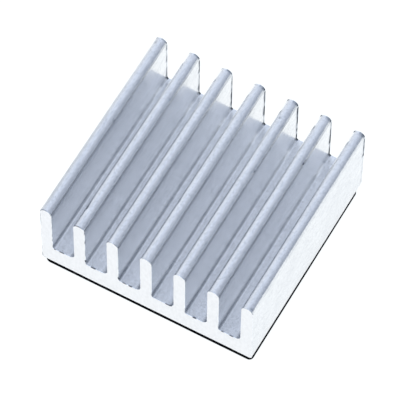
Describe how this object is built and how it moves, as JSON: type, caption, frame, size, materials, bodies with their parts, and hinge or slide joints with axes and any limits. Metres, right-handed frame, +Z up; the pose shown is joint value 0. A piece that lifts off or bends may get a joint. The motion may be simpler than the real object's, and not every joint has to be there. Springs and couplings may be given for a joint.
{
  "type": "extruded heat sink with thermal pad",
  "caption": "Small square aluminium heat sink: a flat base plate with upright parallel fins, extruded and sawn to length, on a thin black self-adhesive thermal pad.",
  "frame": {"origin": "centre of the footprint on the face that rests on the chip (underside of the thermal pad)", "axes": "+X across the fins, +Y along the extrusion and the grooves, +Z up out of the base along the fins"},
  "size_m": [0.025, 0.0242, 0.0104],
  "materials": {
    "aluminium": "satin mill-finish extrusion with sawn ends",
    "pad": "matt black self-adhesive pad"
  },
  "bodies": {
    "root": {"heat_sink": "aluminium", "thermal_pad": "pad"}
  },
  "joints": []
}
